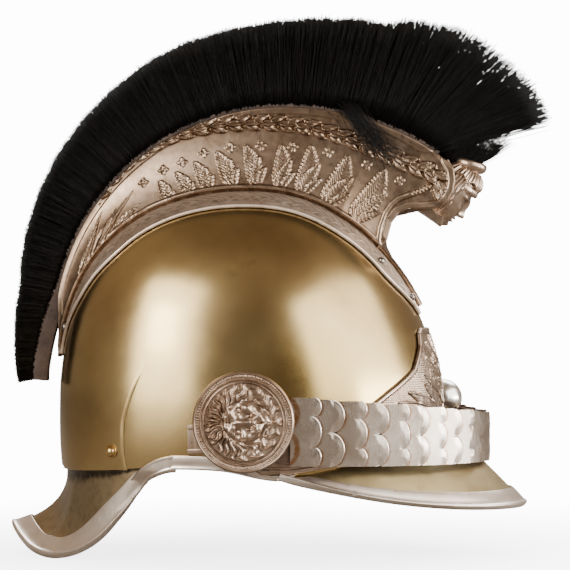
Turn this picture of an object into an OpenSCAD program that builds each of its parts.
// Mounted gendarme's helmet: a brass skull with a neck guard and a visor, an embossed nickel silver
// crest that ends in a mask, a horsehair brush, and two straps of scales buckled over the visor.
// Front is +X, the wearer's left is +Y. The rosettes' axis lies at x = 0, the rim close to z = 0.

/* [Skull] */
// Half length in front of the skull's middle
skull_front = 119; // [112:1:124]
// Half length behind the skull's middle
skull_rear = 117; // [108:1:122]
// Half width at the temples
skull_side = 96; // [90:1:99]
// Height of the crown above the widest line
skull_rise = 139.6; // [132:0.2:144]
// Height of the widest line above the rim
temple_z = 34; // [30:1:38]
// Distance of the skull's middle in front of the rosettes
skull_shift = 3; // [0:1:6]
// Wall of the skull
skull_wall = 1.2; // [0.8:0.1:1.6]
// Wall of the plate lapped over the nape
nape_wall = 0.6; // [0.4:0.1:1]

/* [Neck guard and visor] */
// Wall of the neck guard and of the visor
guard_wall = 1; // [0.8:0.1:1.4]
// How far the neck guard's tail lies behind the rosettes
guard_reach = 143; // [140:1:150]
// How far the visor's tip lies in front of the rosettes
visor_reach = 172.5; // [165:0.5:180]
// Fall of the visor for each millimetre from the brow to its tip
visor_pitch = 0.94; // [0.8:0.01:1]
// Width of the bindings on the free edges
binding_w = 12; // [8:1:14]
// Sheet of the bindings
binding_wall = 0.8; // [0.5:0.1:1]

/* [Front plate] */
// Sheet of the embossed front plate
plate_wall = 0.9; // [0.6:0.1:1.1]
// Height of its border mouldings above its ground
moulding_h = 0.7; // [0.4:0.1:0.9]
// Radius of the grenade's ball
grenade_r = 10.5; // [8:0.5:12]

/* [Crest] */
// Radius of the crest's rear curve
crest_rear_r = 142; // [138:1:146]
// Radius of the crest's front curve
crest_front_r = 170; // [166:1:174]
// Half width at the top of the crest
crest_half = 11.5; // [10:0.5:13]
// Greatest half width at the foot of the crest's sides
crest_foot = 24; // [20:1:28]
// Sheet of the crest
crest_wall = 1; // [0.8:0.1:1.4]
// Number of palmettes on each side
palmettes = 9; // [5:1:11]
// Width of the mask's face
mask_w = 30; // [26:1:34]
// Outer radius of the cup on the mask's head
cup_r = 10.5; // [8:0.5:12]

/* [Brush] */
// Hair length at the crown
hair_len = 53; // [45:1:65]
// Hair length at the nape
hair_nape_len = 17; // [14:1:22]
// Thickness of the leather spine
spine_t = 7.8; // [6:0.2:10]
// Depth of the backing slice that holds the hair
backing_t = 2.4; // [1.6:0.2:3]
// Rows of hair strands along each length of the brush
hair_rows = 16; // [15:1:20]
// How much the hair spreads sideways from root to tip
hair_spread = 2.1; // [1.4:0.1:2.6]

/* [Rosettes and chin scales] */
// Radius of a rosette
rosette_r = 30; // [28:1:32]
// Radius of the stud that carries it
stud_r = 3; // [2.5:0.1:4]
// How far the buckled scales reach in front of the studs
scales_reach = 151; // [148:1:156]
// Depth of the strap at the stud end
strap_w = 41; // [36:1:42]
// Depth of the strap at the front
strap_w_front = 28.5; // [24:0.5:32]
// Thickness of the strap's leather
strap_leather = 1.7; // [1.2:0.1:2]
// Thickness of one scale
scale_t = 0.7; // [0.5:0.1:0.9]
// Distance from one row of scales to the next
scale_pitch = 14; // [12:0.5:16]
// Clearance under each row's free end
scale_gap = 0.25; // [0.2:0.05:0.4]

/* [Buckle] */
// Height of the buckle frame
buckle_h = 22; // [20:1:24]
// Width of the buckle frame along the strap
buckle_w = 17; // [15:1:20]
// Radius of the buckle's wire
buckle_wire = 1.4; // [1.2:0.1:1.6]

/* [Plume socket] */
// Radius of the plume socket's bore
socket_r = 5.5; // [4:0.5:6]
// Length of the plume socket
socket_len = 30; // [24:1:34]
// Wall of the plume socket
socket_wall = 1; // [0.8:0.1:1.5]

/* [Liner] */
// Thickness of the sweatband
band_t = 1.6; // [1:0.1:2.5]
// Height of the sweatband
band_h = 34; // [28:1:40]
// Number of leather tongues
tongues = 8; // [6:1:10]
// Thickness of a tongue
tongue_t = 1.2; // [0.8:0.1:1.6]

/* [Fits] */
// Clearance between sheets that lie on each other
lay = 0.3; // [0.25:0.05:0.4]
// Radial clearance of a turning fit
running = 0.05; // [0.03:0.01:0.08]
// Extra clearance over a sheet whose faces are flat
sag = 0.25; // [0.2:0.05:0.35]

/* [Hidden] */
$fn = 48;

brass = [0.66, 0.55, 0.30];
bright_brass = [0.80, 0.66, 0.38];
nickel = [0.78, 0.72, 0.67];
leather_brown = [0.24, 0.16, 0.11];
leather_black = [0.10, 0.09, 0.09];
hair_black = [0.05, 0.05, 0.06];
linen = [0.62, 0.53, 0.40];
iron = [0.35, 0.34, 0.33];

// General functions on numbers, points and surfaces
function mix(a, b, t) = a + (b - a) * t;
function unit(v) = v / norm(v);
function steps(n) = [for (i = [0:n]) i / n];
function last(list) = list[len(list) - 1];

// A smooth curve through points or numbers, t from 0 to 1
function spline(p, t) = let (
        n = len(p) - 1, s = min(max(t, 0), 1) * n, i = min(floor(s), n - 1), f = s - i,
        a = p[max(i - 1, 0)], b = p[i], c = p[i + 1], d = p[min(i + 2, n)])
    b + 0.5 * f * (c - a + f * (2 * a - 5 * b + 4 * c - d + f * (3 * (b - c) + d - a)));

// The point of surface s at (u, v), raised by off along its normal
function raised(s, u, v, off, e = 0.002) =
    s(u, v) + off * unit(cross(s(u + e, v) - s(u - e, v), s(u, v + e) - s(u, v - e)));
function sheet(s, us, vs, off) = [for (u = us) [for (v = vs) raised(s, u, v, off)]];

// A closed solid between two grids of points of the same size. With ring set, each row is a loop.
// With poles given, the last rows close on one point each.
module shell(outer, inner, ring = false, poles = []) {
    m = len(outer);
    n = len(outer[0]);
    half = m * n;
    span = ring ? n : n - 1;
    mid = floor(m / 2) - 1;
    along = outer[mid][1] - outer[mid][0];
    next = outer[mid + 1][0] - outer[mid][0];
    turned = cross(along, next) * (outer[mid][0] - inner[mid][0]) > 0;
    quads = [
        for (i = [0:m - 2]) for (j = [0:span - 1]) let (k = (j + 1) % n)
            each [[i * n + j, i * n + k, (i + 1) * n + k, (i + 1) * n + j],
                [half + i * n + j, half + (i + 1) * n + j, half + (i + 1) * n + k, half + i * n + k]],
        for (j = [0:span - 1]) let (k = (j + 1) % n) each [
            [k, j, half + j, half + k],
            if (len(poles) == 0) [half - n + j, half - n + k, 2 * half - n + k, 2 * half - n + j]],
        if (!ring) for (i = [0:m - 2]) each [
            [i * n, (i + 1) * n, half + (i + 1) * n, half + i * n],
            [(i + 2) * n - 1, (i + 1) * n - 1, half + (i + 1) * n - 1, half + (i + 2) * n - 1]]];
    fans = len(poles) == 0 ? [] : [for (j = [0:n - 1]) let (k = (j + 1) % n) each [
        [half - n + j, half - n + k, 2 * half], [2 * half - n + k, 2 * half - n + j, 2 * half + 1]]];
    triangles = concat([for (q = quads) each [[q[0], q[1], q[2]], [q[0], q[2], q[3]]]], fans);
    points = concat([for (row = outer) each row], [for (row = inner) each row], poles);
    polyhedron(points, turned ? [for (t = triangles) [t[2], t[1], t[0]]] : triangles);
}

// A sheet of surface s between two heights over it, on the given stations
module plate(s, us, vs, low, high) {
    shell(sheet(s, us, vs, high), sheet(s, us, vs, low));
}

// A binding folded round the edge v = 1 of a sheet that lies below surface s; leaf(u) is its width
module binding(s, us, wall, leaf, tuck) {
    g = lay + 1.4 * sag;
    t = binding_wall;
    outer = [[-1, g + t], [-0.5, g + t], [-0.15, g + t], [0, g + 1.6 * t], [0, -wall / 2],
        [0, -wall - g - 1.6 * t], [-tuck, -wall - g - t]];
    inner = [[-1, g], [-0.5, g], [-0.15, g], [0, g], [0, -wall / 2], [0, -wall - g], [-tuck, -wall - g]];
    // How far past the edge the fold lies, outside and inside
    bulge = [0, 0, 0, g, g + 1.4 * t, g, 0];
    room = [0, 0, 0, g, g, g, 0];
    function past(u, d) = 1 + d / (norm(s(u, 1) - s(u, 0.9)) / 0.1);
    function row(u, list, out) = [for (i = [0:6])
        raised(s, u, past(u, list[i][0] * leaf(u) + out[i]), list[i][1])];
    shell([for (u = us) row(u, outer, bulge)], [for (u = us) row(u, inner, room)]);
}

// Stands a piece on a seat, its Z axis along way
module stand(seat, way) {
    translate(seat) rotate([0, acos(way.z), atan2(way.y, way.x)]) children();
}

module both_sides() {
    children();
    mirror([0, 1, 0]) children();
}

// The skull is an oval whose fullness grows from the brow to the nape
skull_middle = [skull_shift, 0, temple_z];
skull_drop = 118;
skull_fullness = 2.2;
fullness_swing = 0.33;
function half_length(x) = x < 0 ? skull_rear : skull_front;
function half_height(z) = z < 0 ? skull_drop : skull_rise;
function oval(d, n) = pow(pow(abs(d.x) / half_length(d.x), n) + pow(abs(d.y) / skull_side, n)
    + pow(abs(d.z) / half_height(d.z), n), -1 / n);
function fullness(d, r) = skull_fullness - fullness_swing * r * d.x / half_length(d.x);
function reach(d, n = skull_fullness, k = 3) =
    let (r = oval(d, n)) k == 0 ? r : reach(d, fullness(d, r), k - 1);
function skin(d, off = 0) = let (
        r = reach(d), n = fullness(d, r) - 1,
        slope = [sign(d.x) * pow(abs(r * d.x) / half_length(d.x), n) / half_length(d.x),
            sign(d.y) * pow(abs(r * d.y) / skull_side, n) / skull_side,
            sign(d.z) * pow(abs(r * d.z) / half_height(d.z), n) / half_height(d.z)])
    skull_middle + r * d + off * unit(slope);

// Directions from the skull's middle: by bearing and elevation, by bearing and height, and by
// angle in the middle plane and distance to the side
function aim(bearing, rise) = [cos(bearing) * cos(rise), sin(bearing) * cos(rise), sin(rise)];
function aim_level(bearing, z, r = 100, k = 5) =
    let (d = [cos(bearing), sin(bearing), (z - temple_z) / r])
    k == 0 ? d : aim_level(bearing, z, reach(d), k - 1);
function aim_aside(angle, y, r = 125, k = 5) =
    let (d = [cos(angle), y / r, sin(angle)])
    k == 0 ? d : aim_aside(angle, y, reach(d), k - 1);
function at_level(bearing, z, off = 0) = skin(aim_level(bearing, z), off);
function at_aside(angle, y, off = 0) = skin(aim_aside(angle, y), off);

// Height of the rim at bearings 0, 20, 40 and so on to 180 degrees
rim_heights = [29, 24.5, 14.5, 4.5, 0.2, 6, 6.8, 4, 2.6, 3];
function rim_z(bearing) = spline(rim_heights, abs(bearing) / 180);

// Bearings at which pieces of the rim begin and end
guard_bearing = 124;
visor_bearing = 72;
trim_bearing = 92;

skull_columns = 36;
skull_levels = 11;
crown_rise = 84;
module skull() {
    function ring_at(off, t) = [for (i = [0:skull_columns - 1])
        let (b = 360 * (i + 0.5) / skull_columns, w = b > 180 ? b - 360 : b,
            low = atan(aim_level(w, rim_z(w)).z))
        skin(aim(w, mix(low, crown_rise, t)), off)];
    color(brass) difference() {
        shell([for (t = steps(skull_levels)) ring_at(0, t)],
            [for (t = steps(skull_levels)) ring_at(-skull_wall, t)],
            true, [for (off = [0, skull_wall]) skull_middle + [0, 0, skull_rise - off]]);
        stud_line(stud_r + lay, skull_side + 10);
    }
}

// A cylinder through both temples on the rosettes' axis
module stud_line(r, half) {
    translate([0, 0, temple_z]) rotate([90, 0, 0]) cylinder(r = r, h = 2 * half, center = true);
}

// Plate lapped over the nape, its front edges running down in a slant
nape_edge = [132, 132.5, 132.7, 132.3, 130.3, 128.3, 126.5, 126];
nape_heights = [4.5, 12, 22, 34, 46, 56, 64, 70];
nape_top = lay + 1.6 * sag + nape_wall;
module nape_plate() {
    lap = function (u, v) let (edge = spline(nape_edge, v), z = spline(nape_heights, v))
        at_level(mix(edge, 360 - edge, u), z);
    color(brass) plate(lap, steps(16), steps(6), nape_top - nape_wall, nape_top);
}

rivet_bearing = 137;
rivet_z = 15.5;
module nape_rivets() {
    seat = at_level(rivet_bearing, rivet_z, nape_top + 0.2);
    way = unit(at_level(rivet_bearing, rivet_z, nape_top + 5) - seat);
    color(bright_brass) both_sides() stand(seat, way) intersection() {
        translate([0, 0, -0.8]) sphere(4.1);
        cylinder(r = 5, h = 6);
    }
}

// Neck guard: it laps under the skull's rim, then sweeps back to a curled tail
guard_side = [
    [-50.5, 84, 3.6], [-60.5, 80, -4], [-68.5, 77, -15], [-76.7, 74, -25], [-86, 70, -35], [-95.6, 65, -41.8],
    [-106, 58, -46.2], [-117.6, 48, -47.8], [-128.6, 36, -45], [-137.2, 20, -38.6], [-guard_reach, 0, -32]];
guard_edge = concat(guard_side, [for (i = [len(guard_side) - 2:-1:0])
    [guard_side[i].x, -guard_side[i].y, guard_side[i].z]]);
guard_lap = 5;
lap_share = 0.15;
function guard_bearing_at(u) = mix(360 - guard_bearing, guard_bearing, u);
guard = function (u, v) let (
        b = guard_bearing_at(u), z = rim_z(b > 180 ? 360 - b : b),
        root = at_level(b, z - 1, -skull_wall - lay - 3 * sag),
        tip = spline(guard_edge, 1 - u), t = (v - lap_share) / (1 - lap_share),
        hang = root - [0, 0, 0.75 * max(root.z - tip.z, 0)])
    t < 0 ? at_level(b, z - 1 - t * (guard_lap + 1) / lap_share, -skull_wall - lay - 3 * sag)
        : mix(mix(root, hang, t), mix(hang, tip, t), t);
guard_stations = steps(24);
function guard_leaf(u) = min(binding_w, max(norm(guard(u, 1) - guard(u, lap_share)) - 2, 2.5));
module neck_guard() {
    color(brass) plate(guard, guard_stations, [0, 0.14, 0.26, 0.45, 0.65, 0.84, 1], -guard_wall, 0);
}
module neck_guard_trim() {
    color(nickel)
        binding(guard, [for (i = [1:23]) guard_stations[i]], guard_wall, function (u) guard_leaf(u), 0.5);
}

// Rim trims run from the neck guard to below the rosettes
module rim_trim() {
    span = 20;
    side = function (u, v) let (b = mix(guard_bearing - 1.5, trim_bearing, u))
        at_level(b, mix(rim_z(b) + span, rim_z(b), v));
    binding(side, steps(10), skull_wall, function (u) binding_w - 2, 0.5);
}
module left_rim_trim() { color(nickel) rim_trim(); }
module right_rim_trim() { color(nickel) mirror([0, 1, 0]) rim_trim(); }

// Visor: straight lines from the rim to an oval edge that dips towards the tip
visor_side = skull_side - 0.5;
visor_start = 24.5;
visor_root = 0.4;
visor_tilt = 84;
visor_lift = 0.8;
visor_crown = 5;
visor_brow = at_level(0, rim_heights[0]);
visor_drop = visor_pitch * (visor_reach - visor_brow.x) - visor_brow.z + visor_lift;
visor = function (u, v) let (
        b = mix(visor_bearing, -visor_bearing, u), e = b * visor_tilt / visor_bearing,
        root = at_level(b, rim_z(b) - 0.5, visor_root),
        dip = 1 - pow(1 - min(cos(e), 1), 2.2),
        ahead = visor_start + (visor_reach - visor_start) * cos(e),
        edge = [ahead, visor_side * sin(e), visor_lift - visor_drop * dip])
    mix(root, edge, v) + [0, 0, visor_crown * v * (1 - v) * cos(e)];
function visor_leaf(u) = min(binding_w, max(norm(visor(u, 1) - visor(u, 0)) - 2, 2.5));
module visor_sheet() { plate(visor, steps(24), steps(3), -guard_wall, 0); }
module visor() { color(bright_brass) visor_sheet(); }
module visor_trim() {
    color(nickel)
        binding(visor, [for (t = steps(24)) mix(0.02, 0.98, t)], guard_wall,
            function (u) visor_leaf(u), 0.5);
}
module visor_rivets() {
    color(nickel) for (u = [0.06, 0.94]) {
        seat = raised(visor, u, 1, lay + binding_wall);
        translate(seat + [0, sign(seat.y), 0]) rotate([-90 * sign(seat.y), 0, 0]) cylinder(r = 1.6, h = 1);
    }
}

// Front plate: a band round the brow with raised mouldings, drawn up to a peak at the middle
plate_low = [[0, 31], [20, 26.5], [40, 16.5], [60, 6.6], [76, 2.6], [86, 2.8], [91, 19], [112, 19.5]];
plate_high = [[0, 88], [14, 88], [17, 85], [19, 78], [22, 71.6], [26, 63.5], [33.5, 56.3], [39, 51],
    [46.7, 42.7], [62, 38], [80, 36], [112, 32]];
plate_end = 111;
brow = function (u, v) let (b = mix(-plate_end, plate_end, u))
    at_level(b, mix(lookup(abs(b), plate_low), lookup(abs(b), plate_high), v));
plate_profile = [[0, 1], [0.06, 1], [0.1, 0], [0.3, 0], [0.5, 0], [0.7, 0], [0.9, 0], [0.94, 1], [1, 1]];
plate_top = lay + 1.5 * sag + plate_wall;
module front_plate() {
    us = steps(28);
    outer = [for (u = us) [for (p = plate_profile) raised(brow, u, p[0], plate_top + moulding_h * p[1])]];
    color(nickel) difference() {
        shell(outer, sheet(brow, us, [for (p = plate_profile) p[0]], plate_top - plate_wall));
        stud_line(stud_r + lay, skull_side + 10);
    }
}

// Laurel branches that rise from both sides of the grenade
laurel = [[0.56, 0.3], [0.575, 0.45], [0.59, 0.58], [0.605, 0.66], [0.62, 0.62], [0.64, 0.55], [0.66, 0.48]];
module leaf(s, u, v, turn, length, width, off, rise) {
    // Local steps along the surface, a millimetre long
    p = s(u, v);
    du = unit(s(u + 0.001, v) - s(u - 0.001, v));
    dv = unit(s(u, v + 0.002) - s(u, v - 0.002));
    up = unit(cross(du, dv));
    a = cos(turn) * du + sin(turn) * dv;
    b = cos(turn) * dv - sin(turn) * du;
    q = p + up * off;
    spots = [q, q + a * length, q + a * length * 0.45 + b * width / 2, q + a * length * 0.45 - b * width / 2,
        q + a * length * 0.45 + up * rise, q + a * length * 0.4 - up * 0.5];
    ridge = [[0, 2, 4], [2, 1, 4], [1, 3, 4], [3, 0, 4]];
    keel = [[0, 5, 2], [2, 5, 1], [1, 5, 3], [3, 5, 0]];
    polyhedron(spots, concat(ridge, keel));
}
module front_laurel() {
    seat = plate_top + 0.6;
    color(nickel) both_sides() for (q = laurel) for (turn = [-35, 75])
        leaf(brow, q[0], q[1], 90 + turn * 0.8 - 60, 12, 5.5, seat, 1.4);
}

grenade_z = 43;
module grenade_boss() {
    seat = at_level(0, grenade_z, plate_top);
    d = 4 * grenade_r;
    color([0.9, 0.88, 0.85]) translate([seat.x + 1.1, 0, seat.z]) {
        intersection() {
            translate([-1.5, 0, 0]) scale([1, 1, 1.1]) sphere(grenade_r, $fn = 32);
            translate([0, -d / 2, -d / 2]) cube(d);
        }
    }
}

// Crest, drawn in the middle plane as angles about the skull's middle
crest_top_z = 224.5;
crest_x = 24;
rear_arc = [crest_x - skull_shift, crest_top_z - crest_rear_r - temple_z];
front_arc = [crest_x - skull_shift, crest_top_z - crest_front_r - temple_z];
crest_tail = 162.5;
crest_face = 53;
function to_arc(angle, c, r) = let (d = [cos(angle), sin(angle)], p = c * d) p + sqrt(r * r - c * c + p * p);
tail_dip = [[148, 0], [152, 2.2], [158, 3], [163, 3.5]];
function crest_top(angle) = let (rear = to_arc(angle, rear_arc, crest_rear_r))
    rear * cos(angle) < rear_arc.x ? rear - lookup(angle, tail_dip)
        : to_arc(angle, front_arc, crest_front_r);
foot_line = [[163, 0.36], [155, 0.5], [147, 0.68], [130, 0.92], [110, 1], [66, 0.96], [53, 0.72], [40, 0.42],
    [30, 0.25]];
function foot_y(angle) = crest_foot * lookup(angle, foot_line);
hem_line = [[163, 12], [155, 20], [147, 35], [130, 46.5], [110, 46], [90, 44.5], [66, 42.5], [44, 35],
    [36, 22], [30, 11]];
function hem_y(angle) = max(lookup(angle, hem_line), foot_y(angle) + 1.5);
crest_lift = 2.2;
notch = 4;
tail_half = 8;
taper_from = 145;
function crest_half_at(angle) = let (t = (angle - taper_from) / (crest_tail - taper_from))
    mix(crest_half, tail_half, pow(max(t, 0), 1.5));
crest_side = function (u, v) let (
        angle = mix(crest_tail, stem_end, u), low = at_aside(angle, foot_y(angle), crest_lift + crest_wall),
        inner_edge = norm([low.x - skull_middle.x, low.z - skull_middle.z]) + 1.5,
        stem = angle < crest_face, half = stem ? stem_half : crest_half_at(angle),
        edge = stem ? max(lookup(angle, stem_r), inner_edge) : crest_top(angle),
        top = skull_middle + edge * [cos(angle), 0, sin(angle)],
        t = pow(min(max(1 - v, 0), 1), stem ? 1 : 1.7),
        depth = stem ? 0 : notch * pow(max(1 - (angle - crest_face) / 12, 0), 2),
        back = depth * sin(180 * min(max(v / 0.62, 0), 1)))
    [mix(low.x, top.x, v) - back * sin(angle), -mix(half, max(low.y, half), t),
        mix(low.z, top.z, v) + back * cos(angle)];

// The stem drops from the crest's face along the brow to the front plate's peak
stem_r = [[54, 142], [51, 134.6], [48, 131.2], [42.3, 126.4], [37, 123.8], [32.5, 122.6]];
stem_end = 33;
stem_half = 1.3;
function crest_u(angle) = (crest_tail - angle) / (crest_tail - stem_end);
crest_stations = [for (a = steps(22)) crest_u(mix(crest_tail, crest_face + 0.1, a)),
    for (a = steps(6)) crest_u(mix(crest_face - 0.3, stem_end, a))];

// Palmettes along the foot line: the place, the height and the lean of number k
function palmette_angle(i) = 112 - 4.2 * i - 0.28 * i * i;
function palmette_u(k) = crest_u(palmette_angle(k * 8 / (palmettes - 1)));
function palmette_len(k) = 18 + 20 * k / (palmettes - 1);
leaf_root = 0.35;
garland_drop = 8.5;
module crest_relief() {
    for (k = [0:palmettes - 1]) {
        h = palmette_len(k);
        leaf(crest_side, palmette_u(k), 0.07, 82, h, 7.5, -leaf_root, 2.1);
        for (side = [-1, 1])
            leaf(crest_side, palmette_u(k), 0.07 + h / 192, 84 - side * 38, h * 0.5, 5, -leaf_root, 1.7);
    }
    for (i = [0:12]) {
        u = crest_u(143 - 7 * i);
        v = 1 - garland_drop / norm(crest_side(u, 1) - crest_side(u, 0));
        leaf(crest_side, u, v, i % 2 == 0 ? 9 : -16, 16, 6, -leaf_root, 1.9);
    }
    for (i = [0:2])
        leaf(crest_side, crest_u(149 - 9 * i), 0.22 + 0.05 * i, 20 - 4 * i, 23 + i, 6, -leaf_root, 2.1);
}
module crest_plate() {
    levels = [0, 0.1, 0.3, 0.6, 0.92, 1];
    e = 0.0004;
    union() {
        shell([for (u = crest_stations) [for (v = levels) raised(crest_side, u, v, 0, e)]],
            [for (u = crest_stations) [for (v = levels) raised(crest_side, u, v, -crest_wall, e)]]);
        crest_relief();
    }
}
module right_crest_plate() { color(nickel) crest_plate(); }
module left_crest_plate() { color(nickel) mirror([0, 1, 0]) crest_plate(); }

// The crest's foot: a strip that lies on the skull and passes under the sides
module crest_foot_strip() {
    strip = function (u, v) let (angle = mix(crest_tail - 1, stem_end - 2, u))
        at_aside(angle, -mix(hem_y(angle), foot_y(angle) - 1.5, v));
    us = steps(23);
    bumps = [[0, 0.9], [0.12, 0.9], [0.25, 1.7], [0.65, 1.9], [0.8, 0.9], [1, 0.9]];
    shell([for (u = us) [for (b = bumps) raised(strip, u, b[0], lay + sag + b[1])]],
        [for (u = us) [for (b = bumps) raised(strip, u, b[0], lay + sag)]]);
}
module right_crest_foot() { color(nickel) crest_foot_strip(); }
module left_crest_foot() { color(nickel) mirror([0, 1, 0]) crest_foot_strip(); }

rear_centre = [crest_x, crest_top_z - crest_rear_r];
front_centre = [crest_x, crest_top_z - crest_front_r];
// The hair's roots lie this far above the crest's arcs
root_r = 0.3;
function front_root(angle) = front_centre + (crest_front_r + root_r) * [cos(angle), sin(angle)];
channel_front = 56;
channel_half = crest_half - crest_wall - lay - 0.4;
channel_wall = 1;
spine_half = channel_half - channel_wall - lay;
channel_share = 0.27;
// A band along the brush's path, between two depths below the hair's roots, with the given half width
module band(from, low, high, half) {
    stations = [for (t = steps(band_steps)) mix(from, 1, t) * brush_len];
    function edge(s, depth) = root(s) - root_frame(s) * (depth + root_r);
    translate([0, half, 0]) rotate([90, 0, 0]) linear_extrude(2 * half) polygon(concat(
        [for (s = stations) edge(s, high)], [for (i = [band_steps:-1:0]) edge(stations[i], low)]));
}
band_steps = 54;
module crest_channel() {
    color(iron) difference() {
        band(channel_share, spine_t + lay + channel_wall, 0.8, channel_half);
        band(channel_share - 0.01, spine_t + lay, -2, spine_half + lay);
    }
}

// Screws at the front and the rear of the crest's foot
screw_spots = [stem_end + 3.5, crest_tail - 8.5];
module crest_screws() {
    color(bright_brass) both_sides() for (angle = screw_spots) {
        y = -(foot_y(angle) + hem_y(angle)) / 2;
        seat = at_aside(angle, y, lay + sag + 2.2);
        stand(seat, unit(at_aside(angle, y, 9) - seat)) cylinder(r = 2.2, h = 1.3);
    }
}

// The mask's head: height and bearing about its own axis, face forward at bearing 0
brush_end = front_root(channel_front);
mask_at = [brush_end.x + 8.8, 0, brush_end.y - 29.3];
mask_tilt = 90 - crest_face;
mask_low = -18.5;
mask_high = 20.6;
mask_back = 19;
mask_depth = 14;
mask_pole = 0.8;
mask_fullness = 2.6;
mask_set_back = 3.4;
function hump(x, at, w) = exp(-pow((x - at) / w, 2));
function around(a) = a > 180 ? a - 360 : a;
function nose(b, h) = 2.3 * hump(b, 0, 9) * hump(h, -2.5, 4) + 2.2 * hump(b, 0, 10) * hump(h, -5.6, 2.2);
function eyes(side, h) = hump(side, 24, 18) * hump(h, 4.4, 1.8) - 1.7 * hump(side, 26, 12) * hump(h, 1.4, 2.3)
    + 1.2 * hump(side, 26, 9) * hump(h, 0.9, 1.4);
function mouth(b, h) = hump(b, 0, 16) * hump(h, -9.6, 1) - 0.7 * hump(b, 0, 17) * hump(h, -10.8, 0.7)
    + 1.1 * hump(b, 0, 13) * hump(h, -11.9, 1) - 0.6 * hump(b, 0, 15) * hump(h, -13.4, 1)
    + 1.6 * hump(b, 0, 16) * hump(h, -15.8, 2);
function locks(side, h) = side > 60 || h > 11.5 ? 1.6 + 0.7 * sin(side * 9 + h * 22) : 0;
function face_relief(a, h) = let (b = around(a), side = abs(b))
    nose(b, h) + eyes(side, h) + mouth(b, h) + hump(side, 40, 17) * hump(h, -3.5, 5) + locks(side, h);
function head_point(a, h) = let (
        t = (h - mix(mask_low, mask_high, 0.5)) / (0.5 * (mask_high - mask_low)),
        s = pow(max(1 - pow(abs(t), mask_fullness), 0), 0.5),
        depth = (mask_depth - mask_pole) * s + mask_pole, half = (mask_w / 2 - 1) * s + mask_pole,
        r = 1 / sqrt(pow(cos(a) / depth, 2) + pow(sin(a) / half, 2)) + face_relief(a, h) * min(1, 2 * s))
    [max(r * cos(a) - mask_set_back, -mask_back), r * sin(a), h];
mask_columns = 20;
module head_solid() {
    levels = [for (t = steps(16)) mix(mask_low + 0.6, mask_high - 0.6, t)];
    rows = [for (h = levels) [for (i = [0:mask_columns - 1]) head_point(360 * i / mask_columns, h)]];
    n = mask_columns;
    m = len(rows);
    points = concat([for (row = rows) each row], [[-3, 0, mask_low], [-3, 0, mask_high]]);
    faces = [
        for (i = [0:m - 2]) for (j = [0:n - 1]) let (k = (j + 1) % n) each [
            [i * n + j, (i + 1) * n + k, i * n + k], [i * n + j, (i + 1) * n + j, (i + 1) * n + k]],
        for (j = [0:n - 1]) let (k = (j + 1) % n) each [
            [m * n, j, k], [m * n + 1, (m - 1) * n + k, (m - 1) * n + j]]];
    polyhedron(points, faces);
}
// The neck behind the jaw, between the head and the crest's face
neck_outline = [for (p = [[-19.8, -34.8], [-17.2, -34.6], [-13.2, -35.5], [-8.2, -37.7], [-3.2, -37.7],
    [0.8, -29.7], [-1.2, -21.7], [-7.7, -18.8]]) brush_end + p];
neck_half = 8.5;
module crest_mask() {
    color(nickel) union() {
        translate(mask_at) rotate([0, mask_tilt, 0]) head_solid();
        translate([0, neck_half, 0]) rotate([90, 0, 0]) linear_extrude(2 * neck_half) polygon(neck_outline);
    }
}

// The cup on the mask's head that takes the brush's front end
cup_at = [brush_end.x + 19, 0, brush_end.y - 9.7];
cup_tilt = 23;
cup_h = 6;
module tuft_cup() {
    color(nickel) translate(cup_at) rotate([0, cup_tilt, 0]) rotate_extrude() polygon([
        [0, 0], [cup_r - 2.5, 0], [cup_r - 0.8, cup_h - 1.6], [cup_r, cup_h - 1], [cup_r, cup_h],
        [cup_r - 1.4, cup_h], [cup_r - 3.4, 1.2], [0, 1.2]]);
}

// The brush follows the crest's two arcs, with a straight tail at the nape
tail_line = [[-130.2, 56.1], [-129.4, 66], [-127, 79], [-123.8, 92], [-118.8, 105.5]];
hair_rear_end = 166;
function rear_root(angle) = rear_centre + (crest_rear_r + root_r) * [cos(angle), sin(angle)];
tail_path = concat(tail_line, [rear_root(hair_rear_end)]);
function tail_root(s) = spline(tail_path, s / tail_len);
tail_len = norm(tail_line[3] - tail_line[0]) + norm(last(tail_path) - tail_line[3]);
rear_len = (crest_rear_r + root_r) * (hair_rear_end - 90) * PI / 180;
front_len = (crest_front_r + root_r) * (90 - channel_front) * PI / 180;
brush_len = tail_len + rear_len + front_len;
function rear_angle(s) = hair_rear_end - (s - tail_len) / rear_len * (hair_rear_end - 90);
function front_angle(s) = 90 - (s - tail_len - rear_len) / front_len * (90 - channel_front);
function root(s) = s < tail_len ? tail_root(s)
    : s < tail_len + rear_len ? rear_root(rear_angle(s)) : front_root(front_angle(s));
// Which way the hair points, fanned out over the front end
fan_start = 0.9;
fan_low = 17;
hair_tail_end = 186;
function hair_angle(s) = let (t = s / brush_len,
        plain = s < tail_len ? mix(hair_tail_end, hair_rear_end, s / tail_len)
            : s < tail_len + rear_len ? rear_angle(s) : front_angle(s))
    t < fan_start ? plain : mix(plain, fan_low, pow((t - fan_start) / (1 - fan_start), 1.3));
function hair_reach(s) = hair_len * lookup(s / brush_len,
    [[0, hair_nape_len * 0.5 / hair_len], [0.1, hair_nape_len / hair_len], [0.2, 0.5], [0.35, 0.7],
        [0.55, 0.92], [0.7, 1], [0.85, 1.16], [0.92, 1.42], [0.97, 1.46], [1, 1.35]]);
function root_frame(s) = let (a = root(s - 0.5), b = root(s + 0.5), t = unit(b - a)) [-t.y, t.x];
hair_columns = 4;
strand_tip = 0.45;

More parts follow.
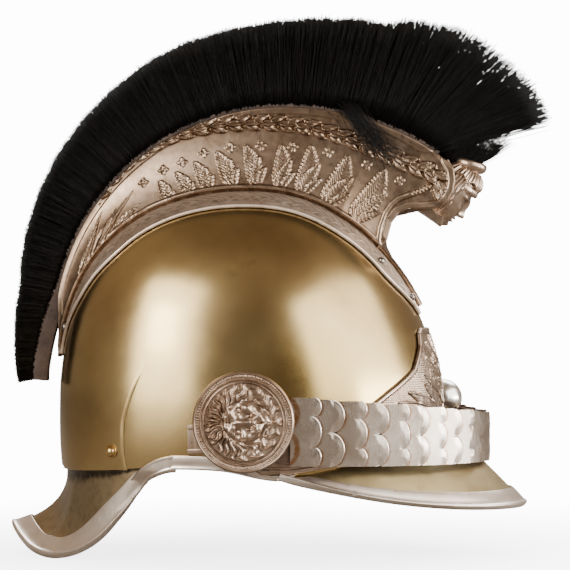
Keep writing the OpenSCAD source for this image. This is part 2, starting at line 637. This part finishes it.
// One length of the brush: a slice of backing whose upper face grows a strand from every cell
module brush_length(from, to) {
    n = hair_rows;
    m = hair_columns;
    w = 2 * spine_half / m;
    function at(s, y, lift) = let (p = root(s) + root_frame(s) * lift) [p.x, y, p.y];
    function s_at(i) = mix(from, to, i / n) * brush_len;
    base = [for (lift = [0, backing_t]) for (i = [0:n]) for (j = [0:m])
        at(s_at(i), -spine_half + w * j, lift)];
    sheet_n = (n + 1) * (m + 1);
    function id(layer, i, j) = layer * sheet_n + i * (m + 1) + j;
    tips = [for (i = [0:n - 1]) for (j = [0:m - 1]) let (
            s = s_at(i + 0.5), y = -spine_half + w * (j + 0.5), a = hair_angle(s),
            uneven = 1 + 0.035 * sin(i * 137 + j * 71 + from * 900), len = hair_reach(s) * uneven,
            start = at(s, y, backing_t),
            tip = start + len * [cos(a), 0, sin(a)] + [0, y * (hair_spread - 1), 0],
            along = [-sin(a), 0, cos(a)])
        each [for (q = [[1, -1], [-1, -1], [-1, 1], [1, 1]])
            tip + strand_tip * (q[0] * along + [0, q[1], 0])]];
    first = len(base);
    strands = [for (i = [0:n - 1]) for (j = [0:m - 1]) let (
            t = first + 4 * (i * m + j),
            b = [id(1, i, j), id(1, i + 1, j), id(1, i + 1, j + 1), id(1, i, j + 1)])
        each concat([for (k = [0:3]) let (l = (k + 1) % 4) each [[b[k], b[l], t + l], [b[k], t + l, t + k]]],
            [[t, t + 1, t + 2], [t, t + 2, t + 3]])];
    under = [for (i = [0:n - 1]) for (j = [0:m - 1]) each [
        [id(0, i, j), id(0, i + 1, j + 1), id(0, i + 1, j)],
        [id(0, i, j), id(0, i, j + 1), id(0, i + 1, j + 1)]]];
    sides = [for (i = [0:n - 1]) each [
        [id(0, i, 0), id(0, i + 1, 0), id(1, i + 1, 0)], [id(0, i, 0), id(1, i + 1, 0), id(1, i, 0)],
        [id(0, i + 1, m), id(0, i, m), id(1, i, m)], [id(0, i + 1, m), id(1, i, m), id(1, i + 1, m)]]];
    ends = [for (j = [0:m - 1]) each [
        [id(0, 0, j + 1), id(0, 0, j), id(1, 0, j)], [id(0, 0, j + 1), id(1, 0, j), id(1, 0, j + 1)],
        [id(0, n, j), id(0, n, j + 1), id(1, n, j + 1)], [id(0, n, j), id(1, n, j + 1), id(1, n, j)]]];
    polyhedron(concat(base, tips), [for (t = concat(strands, under, sides, ends)) [t[2], t[1], t[0]]]);
}
brush_cuts = [0, 0.2, 0.4, 0.6, 0.8, 1];
seam = 0.0006;
module brush_part(k) { color(hair_black) brush_length(brush_cuts[k] + seam, brush_cuts[k + 1] - seam); }
module brush_nape() { brush_part(0); }
module brush_back() { brush_part(1); }
module brush_crown() { brush_part(2); }
module brush_brow() { brush_part(3); }
module brush_front() { brush_part(4); }

// The leather spine lies in the channel and hangs out of it at the nape
module brush_spine() {
    color(leather_brown) band(0, spine_t, 0, spine_half);
}

// Lateral stack at the studs, from the skull outwards
stack_plate = skull_side + plate_top + moulding_h;
stack_leather = stack_plate + lay;
stack_scale = stack_leather + strap_leather + lay;
stack_rosette = stack_scale + 2 * scale_t + 0.9;
nut_h = 2.6;
nut_in = skull_side - skull_wall - lay - 2 * sag - nut_h;
stud_in = nut_in - 0.1;
stud_seat = 1.2;
module stud() {
    translate([0, stud_in, temple_z]) rotate([-90, 0, 0])
        cylinder(r = stud_r, h = stack_rosette + stud_seat - 0.2 - stud_in);
}
module left_stud() { color(iron) stud(); }
module right_stud() { color(iron) mirror([0, 1, 0]) stud(); }
module stud_nuts() {
    color(iron) both_sides() translate([0, nut_in, temple_z]) rotate([-90, 0, 0])
        difference() {
            cylinder(r = 2 * stud_r, h = nut_h, $fn = 6);
            translate([0, 0, -1]) cylinder(r = stud_r + running, h = nut_h + 2);
        }
}

// Rosette: a dished disc with two raised rims
module rosette() {
    r = rosette_r;
    translate([0, stack_rosette, temple_z]) rotate([-90, 0, 0]) difference() {
        rotate_extrude($fn = 96) polygon([
            [0, 0], [r - 1, 0], [r, 1], [r, 2.2], [r - 0.8, 3.2], [r - 2.2, 3.2], [r - 3, 2.4], [r - 5, 2.2],
            [r - 5.8, 3], [r - 7.2, 3], [r - 8, 2], [r - 8.6, 1.6], [0, 1.6]]);
        translate([0, 0, -1]) cylinder(r = stud_r + running, h = 1 + stud_seat);
    }
}
module left_rosette() { color(nickel) rosette(); }
module right_rosette() { color(nickel) mirror([0, 1, 0]) rosette(); }

// The lion's head looks out of the rosette, its brow to the rear and its muzzle to the front
lion_r = rosette_r - 9.2;
function lion_height(r, a) = let (x = r * cos(a), y = r * sin(a))
    1.4 + 3.6 * hump(r, 0, 12) + 2.6 * hump(x, 5, 4.5) * hump(y, 0, 4.5)
    - 1.2 * hump(x, -0.5, 2) * hump(abs(y), 4.6, 2)
    + 1.2 * hump(x, -4, 2.4) * hump(abs(y), 4, 3) + 1.1 * hump(y, 0, 1.8) * hump(x, 0, 5)
    + 1.1 * min(r / 14, 1) * sin(a * 9 + 20 * sin(r * 20));
module lion() {
    rings = 6;
    columns = 22;
    angles = [for (j = [0:columns - 1]) 360 * j / columns];
    function spot(r, a, h) = [r * cos(a), r * sin(a), h];
    translate([0, stack_rosette + 1.6 + lay * 0.3, temple_z]) rotate([-90, 0, 0])
        shell([for (i = [rings:-1:1]) let (r = lion_r * i / rings) [for (a = angles)
                spot(r, a, i == rings ? 0.6 : lion_height(r, a))]],
            [for (i = [rings:-1:1]) [for (a = angles) spot(lion_r * i / rings, a, 0)]],
            true, [[0, 0, lion_height(0, 0)], [0, 0, 0]]);
}
module left_lion() { color(nickel) lion(); }
module right_lion() { color(nickel) mirror([0, 1, 0]) lion(); }

// The strap's plan is a quarter oval from the stud to the front; s is the length along it
strap_front = scales_reach - scale_t * 2 - lay;
strap_side = stack_leather + strap_leather;
oval_steps = 90;
function oval_plan(t) = [strap_front * sin(t), strap_side * cos(t)];
oval_runs = [for (i = 0, s = 0; i <= oval_steps;
    s = s + norm(oval_plan(i + 1) - oval_plan(i)), i = i + 1) [s, i * 90 / oval_steps]];
strap_len = last(oval_runs)[0];
function plan_at(s) = oval_plan(lookup(s, oval_runs));
function plan_way(s) = unit(plan_at(s + 0.5) - plan_at(s - 0.5));
function strap_half(s) = mix(strap_w, strap_w_front, pow(s / strap_len, 1.2)) / 2;
function strap_mid(s) = mix(29, 21, pow(s / strap_len, 0.9));
eye_r = 15;
eye_end = 20;
leather_gap = 16;
leather_end = strap_len - leather_gap;
// The leather: it starts at an eye round the stud and follows the oval
module strap() {
    face = function (u, v)
        let (s = mix(eye_end, leather_end, u), p = plan_at(s), h = strap_half(s) - 1)
        [p.x, p.y, strap_mid(s) + mix(-h, h, v)];
    flat_h = strap_half(eye_end) - 1;
    mid = strap_mid(eye_end);
    neck = eye_end + 0.6;
    difference() {
        union() {
            plate(face, steps(24), [0, 1], 0, strap_leather);
            translate([0, strap_side, 0]) rotate([90, 0, 0]) linear_extrude(strap_leather) union() {
                translate([0, temple_z]) circle(r = eye_r);
                polygon([[0, temple_z + eye_r - 1], [0, temple_z - eye_r + 1],
                    [neck, mid - flat_h], [neck, mid + flat_h]]);
            }
        }
        stud_line(stud_r + running, strap_side + 10);
    }
}
module left_strap() { color(leather_brown) strap(); }
module right_strap() { color(leather_brown) mirror([0, 1, 0]) strap(); }

// Rows of three lobes and of two follow each other; each row's free end lies over the next
scale_lap = 4.6;
first_root = 27.5;
rows = floor((strap_len - first_root - scale_pitch * 0.8) / scale_pitch) + 1;
function lobes(k) = k % 2 == 0 ? [0.27, 0.46, 0.27] : [0.5, 0.5];
function sum_to(list, n) = n == 0 ? 0 : list[n - 1] + sum_to(list, n - 1);
module scale_row(k) {
    s = first_root + k * scale_pitch;
    end = min(s + scale_pitch + scale_lap, strap_len - lay / 2);
    length = end - s;
    way = plan_way(s + 3);
    bend = norm(plan_way(s + scale_pitch) - plan_way(s)) / scale_pitch;
    reach_in = scale_pitch - 1;
    sunk = bend * reach_in * reach_in / 2;
    lean = max(0, atan((scale_t + scale_gap - sunk) / reach_in)) + 1.2;
    start = plan_at(s) + lay * [-way.y, way.x];
    width = 2 * strap_half(s + scale_pitch / 2);
    parts = lobes(k);
    translate([start.x, start.y, strap_mid(s + scale_pitch / 2)])
        rotate([0, 0, atan2(way.y, way.x) + lean]) rotate([90, 0, 0]) mirror([0, 0, 1])
            linear_extrude(scale_t) {
                translate([0, -width / 2]) square([length - width / 4, width]);
                for (i = [0:len(parts) - 1]) {
                    w = parts[i] * width;
                    y = (sum_to(parts, i) - 0.5) * width;
                    r = w / 2 - 0.01;
                    translate([0, y]) square([length - r, w]);
                    translate([length - r, y + w / 2]) circle(r);
                }
            }
}
module scales() { for (k = [0:rows - 1]) scale_row(k); }
module left_scales() { color(nickel) scales(); }
module right_scales() { color(nickel) mirror([0, 1, 0]) scales(); }

// The place in plan at distance w from the front's middle, sunk below the strap's outer face
function front_at(w, sunk) = let (p = plan_at(strap_len - abs(w)), way = plan_way(strap_len - abs(w)))
    [p.x - sunk * abs(way.y), (p.y - sunk * way.x) * (w < 0 ? -1 : 1)];

// Behind the scales the left strap ends in a loop round the buckle's bar
buckle_z = strap_mid(strap_len);
bar_y = buckle_w / 2;
collar_wall = 0.6;
collar_r = buckle_wire + running + collar_wall;
strap_tongue_t = 1.2;
bar_play = 0.35;
bar_x = front_at(-bar_y, 2 * lay + strap_tongue_t + buckle_wire + bar_play).x;
loop_play = 0.15;
loop_bore = buckle_wire + loop_play;
loop_r = loop_bore + strap_tongue_t;
loop_half = 7;
loop_end = 25;
leg_low = strap_leather + lay + strap_tongue_t;
module strap_loop() {
    leg_high = leg_low - strap_tongue_t;
    leg = [[bar_x + 0.6, bar_y + 1], front_at(leather_gap, leg_high), front_at(loop_end, leg_high),
        front_at(loop_end, leg_low), front_at(leather_gap, leg_low), [bar_x - 0.8, bar_y + 1]];
    color(leather_brown) translate([0, 0, buckle_z]) difference() {
        union() {
            translate([bar_x, bar_y, 0]) cylinder(r = loop_r, h = 2 * loop_half, center = true);
            translate([0, 0, -loop_half]) linear_extrude(2 * loop_half) polygon(leg);
        }
        translate([bar_x, bar_y, 0]) cylinder(r = loop_bore, h = 2 * loop_half + 2, center = true);
        translate([bar_x - 4, bar_y - 4, -collar_half - lay]) cube([8, 8, 2 * (collar_half + lay)]);
    }
}

// The tongue from the right strap passes over the far bar, through the frame and below the loop
tongue_half = 7;
slot_half = 1.3;
tongue_in = leg_low - strap_tongue_t / 2;
tongue_free = 4.1;
tongue_path = [[-42, tongue_in], [-30, tongue_in], [-20, tongue_in], [-15, tongue_in], [-11.5, 1.6],
    [-8.5, lay + strap_tongue_t / 2], [-4, 1.9], [0, 4], [4, 6], [8.5, 7.4], [12.5, 6.9], [16, 5.6],
    [21, 4.4], [26, 4.2], [34, tongue_free], [44, tongue_free]];
module strap_tongue() {
    way = function (u, v) let (p = spline(tongue_path, u), q = front_at(p[0], p[1]))
        [q.x, q.y, buckle_z + mix(-tongue_half, tongue_half, v)];
    color(leather_brown) difference() {
        plate(way, steps(28), [0, 1], -strap_tongue_t / 2, strap_tongue_t / 2);
        translate([bar_x - 10, -1, buckle_z - slot_half]) cube([14, 11, 2 * slot_half]);
    }
}

// A keeper behind the left strap holds the tongue's free end
keeper_w = 32;
module strap_keeper() {
    t = 1;
    seat = front_at(keeper_w, tongue_free);
    way = plan_way(strap_len - keeper_w);
    color(leather_brown) translate([seat.x, seat.y, buckle_z]) rotate([0, 0, atan2(way.y, way.x)])
        difference() {
            cube([5, strap_tongue_t + 2 * lay + 2 * t, 2 * (tongue_half + lay + t)], center = true);
            cube([7, strap_tongue_t + 2 * lay, 2 * (tongue_half + lay)], center = true);
        }
}

module buckle_frame() {
    h = buckle_h / 2;
    r = buckle_wire;
    color(nickel) translate([bar_x, 0, buckle_z]) union() {
        for (y = [-bar_y, bar_y]) translate([0, y, 0]) cylinder(r = r, h = buckle_h, center = true);
        for (z = [-h, h]) translate([0, 0, z]) rotate([90, 0, 0])
            cylinder(r = r, h = buckle_w, center = true);
        for (y = [-bar_y, bar_y]) for (z = [-h, h]) translate([0, y, z]) sphere(r);
    }
}

// The prong turns on the bar and rests against the far bar from the helmet's side
collar_half = 2.4;
prong_t = 1;
prong_half = 0.8;
prong_len = buckle_w + 2.2;
module buckle_prong() {
    color(nickel) translate([bar_x, bar_y, buckle_z]) difference() {
        union() {
            cylinder(r = collar_r, h = 2 * collar_half, center = true);
            translate([-buckle_wire - running - prong_t, -prong_len, -prong_half])
                cube([prong_t, prong_len, 2 * prong_half]);
        }
        cylinder(r = buckle_wire + running, h = 2 * collar_half + 2, center = true);
    }
}

// The plume socket stands above and behind the left rosette
socket_x = -28;
socket_low = 66;
socket_out = socket_r + socket_wall;
socket_y = at_level(atan2(skull_side, socket_x - skull_shift), socket_low).y + socket_out + 2.2;
module plume_socket() {
    color(nickel) translate([socket_x, socket_y, socket_low]) {
        difference() {
            union() {
                cylinder(r = socket_out, h = socket_len);
                cylinder(r = socket_out + 1, h = 2);
                translate([0, 0, socket_len - 2]) cylinder(r = socket_out + 0.8, h = 2);
                translate([-5, -socket_out - 1.2, 2]) cube([10, socket_out, 12]);
            }
            translate([0, 0, 1.5]) cylinder(r = socket_r, h = socket_len);
        }
    }
}

// Liner: a leather sweatband with tongues drawn together over the head
liner_off = skull_wall + lay + guard_wall + 2.4;
band_low = 3;
module sweatband() {
    n = 36;
    function wall(off) = [for (t = steps(2)) [for (i = [0:n - 1])
        let (w = around(360 * i / n)) at_level(w, rim_z(w) + band_low + t * band_h, -liner_off - off)]];
    color(leather_brown) shell(wall(0), wall(band_t), true);
}
tongue_top = 74;
module liner_tongues() {
    gap = 0.06;
    color(linen) for (k = [0:tongues - 1]) {
        tongue = function (u, v) let (
                half = (0.5 - gap) * (v < 0.3 ? 1 : 1 - 0.35 * (v - 0.3) / 0.7),
                b = around((k + 0.5 + mix(-half, half, u)) * 360 / tongues),
                low = atan(aim_level(b, rim_z(b) + band_low + band_h + 1).z))
            skin(aim(b, mix(low, tongue_top, v)), -liner_off);
        plate(tongue, steps(2), steps(4), -tongue_t, 0);
    }
}
cord_r = 1.5;
module liner_ring() {
    seat = skin(aim(90, tongue_top - 1), -liner_off - tongue_t - 2.8 * lay - cord_r);
    color(leather_black) translate([skull_shift, 0, seat.z])
        rotate_extrude() translate([seat.y, 0]) circle(cord_r);
}

skull();
nape_plate();
nape_rivets();
neck_guard();
neck_guard_trim();
right_rim_trim();
left_rim_trim();
visor();
visor_trim();
visor_rivets();
front_plate();
front_laurel();
grenade_boss();
right_crest_plate();
left_crest_plate();
right_crest_foot();
left_crest_foot();
crest_channel();
crest_screws();
crest_mask();
tuft_cup();
brush_spine();
brush_nape();
brush_back();
brush_crown();
brush_brow();
brush_front();
right_stud();
left_stud();
stud_nuts();
right_rosette();
left_rosette();
right_lion();
left_lion();
right_strap();
left_strap();
right_scales();
left_scales();
strap_loop();
strap_tongue();
strap_keeper();
buckle_frame();
buckle_prong();
plume_socket();
sweatband();
liner_tongues();
liner_ring();
